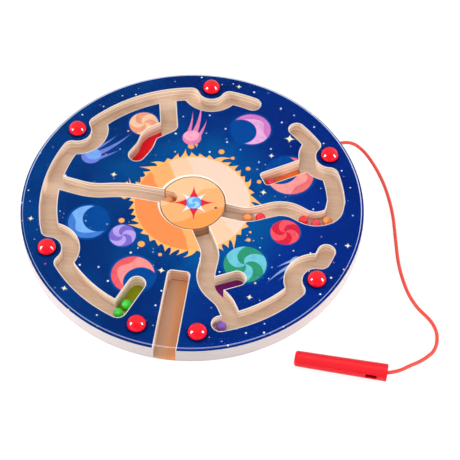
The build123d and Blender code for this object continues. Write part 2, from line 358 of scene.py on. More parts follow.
class Effects:
    """Shader node groups: the grain, plies and wear that materials share, and the motifs of the prints."""

    def __init__(self) -> None:
        """Builds every group once."""
        self.grain = self.build_grain()
        self.plies = self.build_plies()
        self.wear = self.build_wear()
        self.stars = self.build_stars()
        self.crescent = self.build_crescent()
        self.sparkle = self.build_sparkle()
        self.comet = self.build_comet()
        self.swirl = self.build_swirl()
        self.burst = self.build_burst()

    def build_grain(self) -> Tree:
        """Returns wood grain that runs along X: a tone and a height."""
        g = Group("wood grain", ("Tone", "Height"), Fineness=1.0)
        fineness = g["Fineness"]
        place = g.vector("MULTIPLY", g["Place"], g.join(fineness, fineness, fineness))
        bent = g.vector("ADD", place, g.join(y=g.times(g.noise(place, 9.0, 2.0), 0.012)))
        streaks = g.noise(bent, (30.0, 900.0, 900.0), 4.0, 0.65)
        bands = g.noise(bent, (8.0, 140.0, 140.0), 3.0)
        pores = g.rise(g.noise(bent, (160.0, 2600.0, 2600.0), 2.0), 0.62, 0.78)
        tone = g.plus(g.times(streaks, 0.5), g.times(bands, 0.5))
        return g.give(
            Tone=g.minus(tone, g.times(pores, 0.22), clamp=True),
            Height=g.minus(streaks, g.times(pores, 0.6)),
        )

    def build_plies(self) -> Tree:
        """Returns the edge of plywood: a tone, a mask of the glue lines and a height."""
        g = Group("ply edge", ("Tone", "Glue", "Height"), Ply=PLY)
        waver = g.times(g.minus(g.noise(g["Place"], 55.0, 2.0), 0.5), 0.0007)
        level = g.over(g.plus(g.split(g["Place"])[2], waver), g["Ply"])
        odd = g.math("MODULO", g.math("FLOOR", level), 2.0)
        glue = g.rise(g.away(g.minus(g.math("FRACT", level), 0.5)), 0.33, 0.47)
        fibres = g.noise(g["Place"], (260.0, 260.0, 2400.0), 3.0, 0.6)
        ends = g.noise(g["Place"], 2600.0, 2.0, 0.6)
        texture = g.plus(g.times(fibres, g.minus(1.0, odd)), g.times(ends, odd))
        return g.give(
            Tone=g.plus(g.times(texture, 0.5), g.times(odd, 0.45)),
            Glue=glue,
            Height=g.minus(texture, glue),
        )

    def build_wear(self) -> Tree:
        """Returns handling marks: a smear for roughness and a fine height."""
        g = Group("handling", ("Smear", "Height"), Size=0.01)
        size = g["Size"]
        place = g.vector("DIVIDE", g["Place"], g.join(size, size, size))
        smear = g.noise(place, 1.0, 4.0, 0.6)
        scratch = g.rise(g.noise(place, (2.0, 60.0, 2.0), 1.0), 0.66, 0.74)
        return g.give(
            Smear=g.plus(g.times(smear, 0.7), g.times(scratch, 0.3)),
            Height=g.noise(place, 14.0, 3.0, 0.6),
        )

    def build_stars(self) -> Tree:
        """Returns scattered printed dots: a mask, and each dot's random number and reach from the middle."""
        g = Group("star field", ("Mask", "Draw", "Reach"), Spacing=0.012, Share=0.5, Dot=0.05)
        cells = g.node("ShaderNodeTexVoronoi", {
            "Vector": g["Place"], "Scale": g.over(1.0, g["Spacing"])}, voronoi_dimensions="2D").outputs
        keep, girth, draw = g.node("ShaderNodeSeparateColor", {"Color": cells["Color"]}).outputs
        size = g.times(g["Dot"], g.plus(0.5, girth))
        dot = g.fall(cells["Distance"], g.times(size, 0.75), size)
        return g.give(
            Mask=g.times(dot, g.math("LESS_THAN", keep, g["Share"])),
            Draw=draw,
            Reach=g.vector("LENGTH", cells["Position"]),
        )

    def build_crescent(self) -> Tree:
        """Returns a crescent of unit radius: its mask, a two-tone shade and the halo round it."""
        g = Group("crescent", ("Mask", "Shade", "Halo"), Shift=0.55, Bite=0.78)
        flat = g.flat(g["Place"])
        reach = g.vector("LENGTH", flat)
        bite = g.vector("DISTANCE", flat, g.join(g["Shift"]))
        wave = g.times(g.math("SINE", g.times(g.split(flat)[1], 5.0)), 0.12)
        shade = g.plus(g.vector("DISTANCE", flat, (0.25, 0.18, 0.0)), wave)
        return g.give(
            Mask=g.times(g.fall(reach, 0.97, 1.0), g.rise(bite, g["Bite"], g.plus(g["Bite"], 0.03))),
            Shade=g.rise(shade, 0.92, 0.95),
            Halo=g.fall(reach, 1.02, 1.16),
        )

    def build_sparkle(self) -> Tree:
        """Returns a four-pointed star of unit reach: its mask and the glow round it."""
        g = Group("sparkle", ("Mask", "Glow"))
        x, y, _ = g.split(g["Place"])
        arms = g.plus(g.math("SQRT", g.away(x)), g.math("SQRT", g.away(y)))
        return g.give(Mask=g.fall(arms, 0.96, 1.0), Glow=g.fall(g.reach(g["Place"]), 0.0, 1.1))

    def build_comet(self) -> Tree:
        """Returns a comet with its head at the centre and its tail along X: masks of both and a shade."""
        g = Group("comet", ("Head", "Tail", "Shade"), Curl=0.25)
        x, y, _ = g.split(g["Place"])
        across = g.minus(y, g.times(x, x, g["Curl"]))
        tail = 0.0
        for offset, length, width in ((0.0, 1.0, 0.075), (0.105, 0.72, 0.055), (-0.105, 0.6, 0.055)):
            left = g.minus(1.0, g.over(x, length), clamp=True)
            gap = g.away(g.minus(across, g.times(offset, g.plus(1.0, x))))
            streak = g.fall(g.minus(gap, g.times(left, width)), -0.012, 0.0)
            tail = g.math("MAXIMUM", tail, g.times(streak, g.rise(x, -0.02, 0.0)))
        return g.give(
            Head=g.fall(g.reach(g["Place"]), 0.185, 0.2),
            Tail=tail,
            Shade=g.fall(g.vector("DISTANCE", g["Place"], (0.07, 0.05, 0.0)), 0.16, 0.175),
        )

    def build_swirl(self) -> Tree:
        """Returns a round swirl of unit radius: its mask, its arms and the halo round it."""
        g = Group("swirl", ("Mask", "Arms", "Halo"), Number=3.0, Twist=5.0)
        x, y, _ = g.split(g["Place"])
        reach = g.reach(g["Place"])
        wound = g.plus(g.times(g.math("ARCTAN2", y, x), g["Number"]), g.times(reach, g["Twist"]))
        return g.give(
            Mask=g.fall(reach, 0.97, 1.0),
            Arms=g.rise(g.math("SINE", wound), -0.05, 0.05),
            Halo=g.fall(reach, 1.02, 1.16),
        )

    def build_burst(self) -> Tree:
        """Returns a sunburst round the centre: its mask and how far past its round edge a point lies."""
        g = Group("sunburst", ("Mask", "Depth"), Radius=0.05, Ray=0.01, Rays=24.0)
        x, y, _ = g.split(g["Place"])
        depth = g.minus(g.reach(g["Place"]), g["Radius"])
        turn = g.over(g.math("ARCTAN2", y, x), 2 * pi)
        sway = g.math("SINE", g.times(turn, 14 * pi))
        hook = g.plus(1.0, g.times(depth, 120.0))
        lean = g.times(depth, hook, sway, 1.5)
        steps = g.times(g.plus(turn, lean, 1.0), g["Rays"])
        saw = g.times(g.math("PINGPONG", steps, 0.5), 2.0)
        draw = g.node("ShaderNodeTexWhiteNoise", {"W": g.math("FLOOR", steps)}, noise_dimensions="1D")
        tall = g.plus(0.22, g.times(g.math("POWER", draw.outputs["Value"], 1.6), 0.78))
        ray = g.times(g.math("POWER", saw, 1.5), tall, g["Ray"])
        return g.give(Mask=g.fall(g.minus(depth, ray), -0.0002, 0.0), Depth=depth)


def fresh_graph(owner: Material | bpy.types.World) -> Graph:
    """Empties the nodes of a new material or world.

    Args:
        owner: the material or world.

    Returns:
        Its graph.
    """
    owner.use_nodes = True
    owner.node_tree.nodes.clear()
    return Graph(owner.node_tree)


class Gloss(Enum):
    """How much a coloured plastic shines."""

    SATIN = 0.3
    GLOSSY = 0.04


@dataclass(frozen=True)
class Surface:
    """What a finish gives its shader: colour, roughness, relief with its depth in metres, shine and metal."""

    colour: Socket
    rough: Socket
    height: Socket
    depth: float
    strength: float = 0.5
    shine: float = 0.5
    metal: float = 0.0


@dataclass(frozen=True)
class Finish:
    """A material by name, from the surface that each kind of finish draws."""

    name: str
    effects: Effects

    def surface(self, g: Graph, place: Socket) -> Surface:
        """Draws the finish. Each kind of finish has its own way.

        Args:
            g: the material's graph.
            place: the place on the object.

        Returns:
            The surface at that place.
        """
        raise NotImplementedError

    def material(self) -> Material:
        """Returns the finished material."""
        material = bpy.data.materials.new(self.name)
        g = fresh_graph(material)
        made = self.surface(g, g.node("ShaderNodeTexCoord").outputs["Object"])
        relief = g.node("ShaderNodeBump", {
            "Strength": made.strength, "Distance": made.depth, "Height": made.height})
        shader = g.node("ShaderNodeBsdfPrincipled", {
            "Base Color": made.colour, "Roughness": made.rough, "Metallic": made.metal,
            "Specular IOR Level": made.shine, "Normal": relief.outputs[0],
        })
        g.node("ShaderNodeOutputMaterial", {"Surface": shader.outputs[0]})
        return material


@dataclass(frozen=True)
class MazeWood(Finish):
    """Light plywood with router-cut channels, and a smooth pale rim."""

    face_light: Colour = linear(230, 203, 180)
    face_dark: Colour = linear(214, 180, 154)
    edge_light: Colour = linear(255, 244, 230)
    edge_dark: Colour = linear(226, 194, 166)
    edge_glue: Colour = linear(178, 132, 100)
    slot_tan: Colour = linear(204, 150, 114)
    top: Colour = linear(255, 246, 234)
    rim: Colour = linear(215, 206, 205)
    rim_tone: Colour = linear(206, 192, 190)
    rim_glue: Colour = linear(188, 168, 166)
    top_height: float = 0.0158
    rim_radius: float = 0.1492

    def surface(self, g: Graph, place: Socket) -> Surface:
        """Draws the routed faces and walls, the slot's end wall and the rim.

        Args:
            g: the material's graph.
            place: the place on the object.

        Returns:
            The surface at that place.
        """
        grain = g.use(self.effects.grain, Place=place, Fineness=1.0)
        plies = g.use(self.effects.plies, Place=place, Ply=PLY)
        x, y, z = g.split(place)
        upright = g.fall(g.away(g.split(g.node("ShaderNodeTexCoord").outputs["Normal"])[2]), 0.45, 0.55)
        face = g.mix(g.rise(grain["Tone"], 0.3, 0.62), self.face_dark, self.face_light)
        face = g.mix(g.rise(z, self.top_height - 0.0002, self.top_height), face, self.top)
        edge = g.mix(plies["Tone"], self.edge_dark, self.edge_light)
        edge = g.mix(g.times(plies["Glue"], 0.75), edge, self.edge_glue)
        behind = g.rise(y, -SLOT_END - 2 * FINE_STEP, -SLOT_END - FINE_STEP)
        aside = g.plus(g.away(x), g.away(g.plus(y, SLOT_END)))
        beside = g.fall(aside, SLOT_HALF_WIDTH - 0.00025, SLOT_HALF_WIDTH + 0.00025)
        edge = g.mix(g.times(behind, beside, 0.75), edge, self.slot_tan)
        at_rim = g.rise(g.reach(place), self.rim_radius, self.rim_radius + FINE_STEP)
        rim = g.mix(g.times(plies["Tone"], 0.4), self.rim, self.rim_tone)
        rim = g.mix(g.times(plies["Glue"], 0.3), rim, self.rim_glue)
        return Surface(
            colour=g.mix(at_rim, g.mix(upright, face, edge), rim),
            rough=g.plus(0.5, g.times(grain["Tone"], 0.2)),
            height=g.plus(g.times(grain["Height"], g.minus(1.0, upright)), g.times(plies["Height"], upright)),
            depth=0.00006, strength=0.6, shine=0.3,
        )


@dataclass(frozen=True)
class BrownBoard(Finish):
    """Thin brown board, pale along its outer edge, with a painted shadow at the foot of the slot's end."""

    left_dark: Colour = linear(184, 134, 104)
    left_light: Colour = linear(226, 184, 156)
    right_dark: Colour = linear(186, 116, 70)
    right_light: Colour = linear(232, 166, 116)
    # painted shadow at the foot of the slot's end wall, where the wall meets the floor
    painted_foot_shadow: Colour = linear(112, 62, 38)
    rim: Colour = linear(206, 196, 193)
    rim_radius: float = 0.1490

    def surface(self, g: Graph, place: Socket) -> Surface:
        """Draws the board, its tones across the slot, a painted shadow at the foot of the slot's end, and the
        rim.

        Args:
            g: the material's graph.
            place: the place on the object.

        Returns:
            The surface at that place.
        """
        along = g.node("ShaderNodeVectorRotate", {"Vector": place, "Angle": pi / 2}, rotation_type="Z_AXIS")
        grain = g.use(self.effects.grain, Place=along.outputs[0], Fineness=0.7)
        fibres = g.noise(place, 1400.0, 4.0, 0.7)
        tone = g.plus(g.times(grain["Tone"], 0.7), g.times(fibres, 0.3))
        x, y, _ = g.split(place)
        waver = g.times(g.noise(place, (60.0, 12.0, 60.0)), 0.012)
        across = g.rise(g.plus(x, waver), -0.002, 0.012)
        dark, light = (g.mix(across, *sides) for sides in (
            (self.left_dark, self.right_dark), (self.left_light, self.right_light)))
        # painted contact shadow: the slot floor darkens just in front of the slot's end wall
        foot = g.rise(y, -SLOT_END - 0.0008, -SLOT_END - 0.0001)
        board = g.mix(g.times(foot, 0.8), g.mix(tone, dark, light), self.painted_foot_shadow)
        out_of_slot = g.math("MAXIMUM", g.math("GREATER_THAN", y, 0.0),
                             g.rise(g.away(x), SLOT_HALF_WIDTH - 0.0002, SLOT_HALF_WIDTH))
        rim = g.times(g.rise(g.reach(place), self.rim_radius, self.rim_radius + FINE_STEP), out_of_slot)
        return Surface(
            colour=g.mix(rim, board, self.rim),
            rough=g.plus(0.5, g.times(fibres, 0.25)),
            height=g.plus(fibres, grain["Height"]),
            depth=0.00005, strength=0.6, shine=0.25,
        )


@dataclass(frozen=True)
class Motif:
    """Where a printed motif stands, in millimetres and degrees, and its two tones."""

    centre: Pair
    size: float
    turn: float
    light: Colour
    dark: Colour


@dataclass(frozen=True)
class StarField:
    """Scattered dots: their spacing, the share of cells that have one, their size and their strength."""

    spacing: float
    share: float
    dot: float
    bright: float = 1.0


@dataclass(frozen=True)
class SkyPrint(Finish):
    """Printed night sky: a sunburst round the turntable, crescents, comets, swirls and stars."""

    teal: Colour = linear(0, 42, 108)
    lagoon: Colour = linear(0, 58, 126)
    navy: Colour = linear(0, 34, 114)
    royal: Colour = linear(0, 42, 134)
    glow: Colour = linear(0, 88, 156)
    halo: Colour = linear(0, 76, 160)
    # painted shade round the foot of each cap
    shade: Colour = linear(0, 10, 62)
    star: Colour = linear(232, 240, 255)
    star_tones: Tones = ((0.72, linear(255, 214, 140)), (0.90, linear(250, 86, 100)))
    drop: Colour = linear(252, 170, 84)
    cream: Colour = linear(255, 240, 200)
    sun_tones: Tones = (
        (-0.008, linear(255, 176, 110)),
        (0.013, linear(250, 204, 168)),
        (0.034, linear(246, 212, 190)),
    )
    sun_low: Colour = linear(255, 142, 80)
    sun_rays: Colour = linear(255, 186, 104)
    sun_radius: float = 0.0515
    ray: float = 0.0125
    rays: float = 42.0
    drop_band: Pair = (0.0590, 0.0660)
    cap_foot: Pair = (0.0074, 0.0105)
    star_fields: tuple[StarField, ...] = (
        StarField(0.0150, 0.5, 0.05),
        StarField(0.0064, 0.07, 0.075, 0.5),
    )
    drops: StarField = StarField(0.0125, 0.6, 0.19)
    crescents: tuple[Motif, ...] = (
        Motif((40.0, 90.0), 18.0, 205.0, linear(236, 172, 222), linear(212, 122, 194)),
        Motif((-86.0, -34.0), 17.5, 30.0, linear(120, 176, 240), linear(66, 124, 208)),
        Motif((81.0, 42.0), 21.0, 150.0, linear(250, 156, 148), linear(238, 112, 110)),
        Motif((-38.0, -82.0), 18.5, 320.0, linear(250, 146, 140), linear(236, 92, 98)),
    )
    comets: tuple[Motif, ...] = (
        Motif((-98.0, 38.0), 46.0, 32.0, linear(120, 168, 240), linear(110, 128, 214)),
        Motif((-12.0, 72.0), 44.0, 74.0, linear(252, 170, 196), linear(232, 128, 176)),
        Motif((98.0, -50.0), 34.0, 212.0, linear(200, 214, 240), linear(142, 166, 214)),
    )
    swirls: tuple[Motif, ...] = (
        Motif((54.0, -58.0), 18.5, 10.0, linear(110, 200, 214), linear(48, 150, 110)),
        Motif((-58.0, 82.0), 13.5, 40.0, linear(250, 200, 164), linear(240, 158, 122)),
        Motif((-54.0, -44.0), 11.5, 0.0, linear(184, 160, 232), linear(126, 104, 204)),
        Motif((84.0, -20.0), 13.0, 80.0, linear(250, 84, 92), linear(218, 34, 56)),
    )
    sparkles: tuple[Point, ...] = (
        (76.0, 84.0, 6.0), (22.0, 139.5, 3.5), (-135.8, -38.0, 3.5), (-15.0, -74.5, 4.0), (138.5, -26.0, 3.5),
        (62.0, -90.0, 3.5), (-74.0, 20.0, 4.0), (60.0, 20.0, 4.0), (62.0, 62.0, 3.5), (-92.0, -104.0, 3.5),
    )

    def surface(self, g: Graph, place: Socket) -> Surface:
        """Draws the print: the sky, the motifs over it and the sun over both.

        Args:
            g: the material's graph.
            place: the place on the object.

        Returns:
            The surface at that place.
        """
        wear = g.use(self.effects.wear, Place=place, Size=0.012)
        return Surface(
            colour=self.sun(g, place, self.motifs(g, place, self.sky(g, place))),
            rough=g.plus(0.42, g.times(wear["Smear"], 0.16)),
            height=wear["Height"],
            depth=0.00001, shine=0.03,
        )

    def sky(self, g: Graph, place: Socket) -> Socket:
        """Draws the sky.

        Args:
            g: the material's graph.
            place: the place on the object.

        Returns:
            The blue ground with clouds, stars and the drops round the sun, and painted shade round the caps.
        """
        side = g.rise(g.split(place)[0], -0.1, 0.11)
        left, right = g.mix(side, self.teal, self.navy), g.mix(side, self.lagoon, self.royal)
        ground = g.mix(g.rise(g.noise(place, 16.0, 5.0, 0.6), 0.35, 0.7), left, right)
        mottle = g.rise(g.noise(place, 22.0, 4.0), 0.25, 0.75)
        ground = g.mix(g.times(g.fall(g.reach(place), 0.045, 0.105), mottle), ground, self.glow)
        for field in self.star_fields:
            stars = self.dots(g, place, field)
            tint = g.steps(stars["Draw"], self.star, self.star_tones, 0.01)
            ground = g.mix(g.times(stars["Mask"], field.bright), ground, tint)
        drops = self.dots(g, place, self.drops)
        first, last = self.drop_band
        past, short = g.math("GREATER_THAN", drops["Reach"], first), g.math("LESS_THAN", drops["Reach"], last)
        ground = g.mix(g.times(drops["Mask"], past, short), ground, self.drop)
        # painted shade: the print darkens round the foot of each cap
        return g.mix(g.times(self.under_caps(g, place), 0.8), ground, self.shade)

    def dots(self, g: Graph, place: Socket, field: StarField) -> Sockets:
        """Returns the outputs of a field of dots."""
        return g.use(self.effects.stars, Place=place, Spacing=field.spacing, Share=field.share, Dot=field.dot)

    def under_caps(self, g: Graph, place: Socket) -> Socket:
        """Masks the painted shade round the foot of each cap, where little light gets.

        Args:
            g: the material's graph.
            place: the place on the object.

        Returns:
            The soft mask.
        """
        flat, near = g.flat(place), 1.0
        for bearing in Caps.bearings:
            near = g.math("MINIMUM", near, g.vector("DISTANCE", flat, polar(Caps.circle, bearing)))
        return g.fall(near, *self.cap_foot)

    def motifs(self, g: Graph, place: Socket, colour: Socket) -> Socket:
        """Prints the motifs, in uneven paint.

        Args:
            g: the material's graph.
            place: the place on the object.
            colour: the ground.

        Returns:
            The printed ground.
        """
        bare, wash = colour, g.rise(g.noise(place, 130.0, 5.0, 0.65), 0.42, 0.72)
        colour = self.round_motifs(g, place, colour, self.effects.crescent, "Shade", self.crescents)
        for motif in self.comets:
            made = g.use(self.effects.comet, Place=g.put(place, motif.centre, motif.size, motif.turn))
            colour = g.mix(made["Tail"], colour, motif.dark)
            colour = g.mix(made["Head"], colour, g.mix(made["Shade"], motif.dark, motif.light))
        colour = self.round_motifs(g, place, colour, self.effects.swirl, "Arms", self.swirls)
        for x, y, size in self.sparkles:
            made = g.use(self.effects.sparkle, Place=g.put(place, (x, y), size))
            colour = g.mix(g.times(made["Glow"], 0.25), colour, self.glow)
            colour = g.mix(made["Mask"], colour, self.cream)
        return g.mix(g.times(wash, 0.2), colour, bare)

    def round_motifs(self, g: Graph, place: Socket, colour: Socket, group: Tree, tone: str,
                     motifs: tuple[Motif, ...]) -> Socket:
        """Prints motifs of one kind, with their halos.

        Args:
            g: the material's graph.
            place: the place on the object.
            colour: the ground.
            group: the motifs' node group.
            tone: the group's output that tells their dark tone from their light one.
            motifs: the motifs.

        Returns:
            The printed ground.
        """
        for motif in motifs:
            made = g.use(group, Place=g.put(place, motif.centre, motif.size, motif.turn))
            colour = g.mix(g.times(made["Halo"], 0.7), colour, self.halo)
            colour = g.mix(made["Mask"], colour, g.mix(made[tone], motif.light, motif.dark))
        return colour

    def sun(self, g: Graph, place: Socket, colour: Socket) -> Socket:
        """Prints the sunburst, lighter towards the back right.

        Args:
            g: the material's graph.
            place: the place on the object.
            colour: the ground.

        Returns:
            The printed ground.
        """
        burst = g.use(self.effects.burst, Place=place, Radius=self.sun_radius, Ray=self.ray, Rays=self.rays)
        x, y, _ = g.split(place)
        level = g.plus(g.times(x, 0.83), g.times(y, 0.55), g.times(g.noise(place, 26.0, 2.0), 0.03))
        body = g.steps(level, self.sun_low, self.sun_tones, 0.002)
        body = g.mix(g.rise(burst["Depth"], -0.0012, -0.0008), body, self.sun_rays)
        return g.mix(burst["Mask"], colour, body)


@dataclass(frozen=True)
class DiscPrint(Finish):
    """Printed face of the turntable: a many-pointed star with a blue eye on orange."""

    pale: Colour = linear(252, 198, 150)
    tones: Tones = ((0.0, linear(252, 178, 116)), (0.021, linear(255, 158, 82)))
    stars: tuple[tuple[float, float, Colour], ...] = (
        (8.0, 22.0, linear(232, 30, 56)),
        (53.0, 17.5, linear(240, 238, 246)),
    )
    iris: tuple[Colour, Colour] = (linear(98, 172, 240), linear(160, 212, 250))
    eye_ring: Colour = linear(52, 92, 178)
    eye_size: float = 6.2
    centre: Pair = (1.0, 0.0)

    def surface(self, g: Graph, place: Socket) -> Surface:
        """Draws the label: its orange ground, its star and its eye.

        Args:
            g: the material's graph.
            place: the place on the object.

        Returns:
            The surface at that place.
        """
        x, y, _ = g.split(place)
        level = g.plus(g.times(x, 0.5), g.times(y, -0.86), g.times(g.noise(place, 40.0, 2.0), 0.016))
        ground = g.steps(level, self.pale, self.tones, 0.001)
        for turn, size, tone in self.stars:
            star = g.use(self.effects.sparkle, Place=g.put(place, self.centre, size, turn))
            ground = g.mix(star["Mask"], ground, tone)
        eye = g.use(self.effects.swirl, Place=g.put(place, self.centre, self.eye_size), Number=2.0, Twist=4.0)
        ground = g.mix(eye["Halo"], ground, self.eye_ring)
        wear = g.use(self.effects.wear, Place=place, Size=0.009)
        return Surface(
            colour=g.mix(eye["Mask"], ground, g.mix(eye["Arms"], *self.iris)),
            rough=g.plus(0.4, g.times(wear["Smear"], 0.2)),
            height=wear["Height"],
            depth=0.00001, shine=0.1,
        )


@dataclass(frozen=True)
class DiscWood(Finish):
    """Wood of the turntable, seen in its notch and at its rim, where painted shade of the gap round the disc
    darkens it.
    """

    dark: Colour = linear(214, 160, 122)
    light: Colour = linear(238, 196, 160)
    glue: Colour = linear(160, 112, 84)
    # the rim's plies, darkened as painted shade of the gap round the disc
    shaded_rim_dark: Colour = linear(132, 92, 66)
    shaded_rim_light: Colour = linear(188, 142, 110)
    rim_radius: float = 0.0278

    def surface(self, g: Graph, place: Socket) -> Surface:
        """Draws the plies, darker round the rim with painted shade of the gap round the disc.

        Args:
            g: the material's graph.
            place: the place on the object.

        Returns:
            The surface at that place.
        """
        plies = g.use(self.effects.plies, Place=place, Ply=PLY)
        wood = g.mix(plies["Tone"], self.dark, self.light)
        wood = g.mix(g.times(plies["Glue"], 0.4), wood, self.glue)
        # the rim takes the painted shade of the gap round the disc
        at_rim = g.rise(g.reach(place), self.rim_radius, self.rim_radius + FINE_STEP)
        return Surface(
            colour=g.mix(at_rim, wood, g.mix(plies["Tone"], self.shaded_rim_dark, self.shaded_rim_light)),
            rough=g.plus(0.5, g.times(plies["Tone"], 0.2)),
            height=plies["Height"],
            depth=0.00005, strength=0.6,
        )


@dataclass(frozen=True)
class ClearSheet(Finish):
    """Clear acrylic that lets lamps through, matt where its edge is sawn.

    It bends light less than real acrylic does, so that no sky glares on its top. Its sawn edge has a
    painted glow, an emission standing in for the light that the edge gathers from the whole sheet,
    brighter on the far side and on a narrower band on the near side.
    """

    clear: tuple[Colour, Colour] = (linear(254, 255, 255), linear(250, 252, 253))
    sawn: Colour = linear(238, 236, 246)
    # painted glow of the sawn edge: dimmer on the near side, brighter on the far side
    glow: tuple[Colour, Colour] = (linear(196, 202, 222), linear(232, 240, 255))
    painted_side_glow: Colour = linear(116, 122, 142)
    # the sawn band, which carries the painted glow, starts further in on the far side than on the near side
    far_radius: float = 0.1470
    near_radius: float = 0.14765
    side_radius: float = 0.1479
    near_to_far: Pair = (-0.06, 0.04)
    step: float = 0.00005
    bending: float = 1.06
    painted_glow_strength: float = 0.85

    def material(self) -> Material:
        """Returns the finished material, whose shader lets the lamps' rays through."""
        material = bpy.data.materials.new(self.name)
        g = fresh_graph(material)
        place = g.node("ShaderNodeTexCoord").outputs["Object"]
        out = g.reach(place)
        facing = g.minus(1.0, g.node("ShaderNodeNewGeometry").outputs["Backfacing"])
        far = g.rise(g.split(place)[1], *self.near_to_far)
        inner = g.minus(self.near_radius, g.times(far, self.near_radius - self.far_radius))
        sawn = g.times(g.rise(out, inner, g.plus(inner, self.step)), facing)
        haze = g.noise(place, 45.0, 4.0, 0.6)
        at_side = g.rise(out, self.side_radius - self.step, self.side_radius)
        shader = g.node("ShaderNodeBsdfPrincipled", {
            "Base Color": g.mix(sawn, g.mix(haze, *self.clear), self.sawn),
            # painted glow: the sawn edge emits light, brighter on the far side and dimmer on its outer face
            "Emission Color": g.mix(sawn, grey(0.0), g.mix(at_side, g.mix(far, *self.glow), self.painted_side_glow)),
            "Emission Strength": self.painted_glow_strength,
            "Roughness": g.plus(g.times(haze, 0.012), g.times(sawn, 0.7)),
            "IOR": self.bending,
            "Transmission Weight": 1.0,
        })
        path = g.node("ShaderNodeLightPath").outputs
        lamps = g.math("MAXIMUM", path["Is Shadow Ray"], path["Is Diffuse Ray"])
        both = g.both(lamps, shader, g.node("ShaderNodeBsdfTransparent"))
        g.node("ShaderNodeOutputMaterial", {"Surface": both})
        return material


@dataclass(frozen=True)
class Plastic(Finish):
    """Moulded coloured plastic."""

    colour: Colour
    gloss: Gloss
    grit: float = 0.00001
    shine: float = 0.5

    def surface(self, g: Graph, place: Socket) -> Surface:
        """Draws the plastic with its handling marks.

        Args:
            g: the material's graph.
            place: the place on the object.

        Returns:
            The surface at that place.
        """
        wear = g.use(self.effects.wear, Place=place, Size=0.006)
        return Surface(
            colour=g.mix(wear["Smear"], self.colour, dimmed(self.colour, 0.9)),
            rough=g.plus(self.gloss.value, g.times(wear["Smear"], 0.08)),
            height=wear["Height"],
            depth=self.grit, shine=self.shine,
        )


@dataclass(frozen=True)
class BallPaint(Finish):
    """Enamel on a steel ball, with tiny pits and rubbed spots."""

    colour: Colour
    pit: Colour = linear(90, 70, 66)

    def surface(self, g: Graph, place: Socket) -> Surface:
        """Draws the enamel and its pits.

        Args:
            g: the material's graph.
            place: the place on the object.

        Returns:
            The surface at that place.
        """
        wear = g.use(self.effects.wear, Place=place, Size=0.003)
        pits = g.rise(g.noise(place, 900.0, 2.0), 0.74, 0.78)
        paint = g.mix(wear["Smear"], self.colour, dimmed(self.colour, 0.88))
        return Surface(
            colour=g.mix(g.times(pits, 0.5), paint, self.pit),
            rough=g.plus(0.09, g.times(wear["Smear"], 0.08)),
            height=g.minus(wear["Height"], pits),
            depth=0.000012,
        )


@dataclass(frozen=True)
class FloorPaint(Finish):
    """Thin coloured sheet on the floor of a pocket."""

    colour: Colour

    def surface(self, g: Graph, place: Socket) -> Surface:
        """Draws the sheet with the grain that shows through it.

        Args:
            g: the material's graph.
            place: the place on the object.

        Returns:
            The surface at that place.
        """
        grain = g.use(self.effects.grain, Place=place, Fineness=0.9)
        return Surface(
            colour=g.mix(grain["Tone"], dimmed(self.colour, 0.8), self.colour),
            rough=g.plus(0.5, g.times(grain["Tone"], 0.2)),
            height=grain["Height"],
            depth=0.00004, strength=0.6, shine=0.2,
        )


@dataclass(frozen=True)
class Metal(Finish):
    """Turned or sintered metal."""

    colour: Colour
    roughness: float

    def surface(self, g: Graph, place: Socket) -> Surface:
        """Draws the metal with its handling marks.

        Args:
            g: the material's graph.
            place: the place on the object.

        Returns:
            The surface at that place.
        """
        wear = g.use(self.effects.wear, Place=place, Size=0.002)
        return Surface(
            colour=g.mix(wear["Smear"], self.colour, dimmed(self.colour, 0.7)),
            rough=g.plus(self.roughness, g.times(wear["Smear"], 0.2)),
            height=wear["Height"],
            depth=0.00002, metal=0.9,
        )


@dataclass(frozen=True)
class Braid(Finish):
    """Braided cord, from the tube's own lay: metres along it and turns round it."""

    colour: Colour
    strands: float = 8.0
    pitch: float = 0.0016

    def surface(self, g: Graph, place: Socket) -> Surface:
        """Draws the strands, with painted shade between them.

        Args:
            g: the material's graph.
            place: the place on the object.

        Returns:
            The surface at that place.
        """
        along, round_it, _ = g.split(g.node("ShaderNodeUVMap", uv_map="Lay").outputs[0])
        turn = g.times(round_it, self.strands * pi)
        run = g.times(along, 2 * pi / self.pitch)
        left, right = (g.away(g.math("SINE", angle)) for angle in (g.plus(turn, run), g.minus(turn, run)))
        weave = g.math("MAXIMUM", left, right)
        return Surface(
            # painted shade in the grooves between the strands
            colour=g.mix(g.rise(weave, 0.55, 0.95), dimmed(self.colour, 0.62), self.colour),
            rough=g.plus(0.4, g.times(g.noise(place, 900.0), 0.2)),
            height=weave,
            depth=0.00018, strength=0.8,
        )


def stand(name: str, data: bpy.types.ID) -> Piece:
    """Links a new object with the data into the scene."""
    made = bpy.data.objects.new(name, data)
    bpy.context.scene.collection.objects.link(made)
    return made


def new_piece(name: str, mesh: Mesh, material: Material) -> Piece:
    """Stands a mesh in the scene as a piece.

    Args:
        name: the piece's name.
        mesh: its mesh, with its place in it.
        material: its only material.

    Returns:
        The piece, not riding on a body yet.
    """
    mesh.materials.clear()
    mesh.materials.append(material)
    return stand(name, mesh)


def shade(work: bmesh.types.BMesh) -> None:
    """Shades all faces smoothly and keeps the edges sharp at which they turn far.

    Args:
        work: the work, whose faces point outwards.
    """
    for face in work.faces:
        face.smooth = True
    work.normal_update()
    for edge in work.edges:
        edge.smooth = len(edge.link_faces) == 2 and edge.calc_face_angle(pi) < SHARP_EDGE


def mesh_of(work: bmesh.types.BMesh, name: str) -> Mesh:
    """Turns finished work into a mesh and frees the work.

    Args:
        work: the finished work.
        name: the mesh's name.

    Returns:
        The mesh.
    """
    mesh = bpy.data.meshes.new(name)
    work.to_mesh(mesh)
    work.free()
    return mesh


